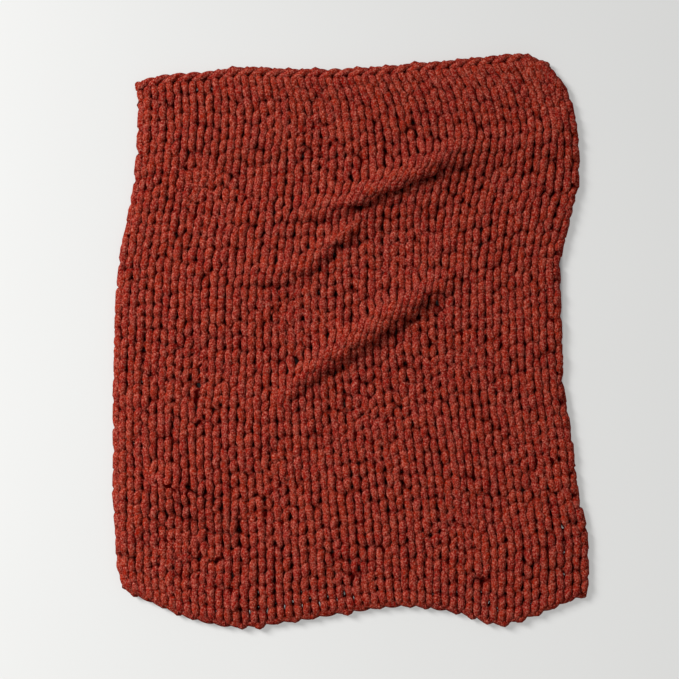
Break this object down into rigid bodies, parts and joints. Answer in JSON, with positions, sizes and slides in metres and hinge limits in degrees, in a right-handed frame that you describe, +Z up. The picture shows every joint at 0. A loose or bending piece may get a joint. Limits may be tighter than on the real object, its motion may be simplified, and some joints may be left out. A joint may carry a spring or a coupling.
{
  "type": "chunky knit throw blanket",
  "caption": "Chunky knit blanket in thick chenille yarn, plain stocking stitch, lying loosely with rounded corners and diagonal folds.",
  "frame": {"origin": "middle of the lying blanket's box, on the surface that it lies on", "axes": "+Y along the knitted columns towards the bound-off edge, +X to the right along the rows, +Z up"},
  "size_m": [1.2527, 1.5117, 0.0793],
  "materials": {
    "chenille_yarn": "matte, short-piled chenille"
  },
  "bodies": {
    "root": {"knit_blanket": "chenille_yarn"}
  },
  "joints": []
}
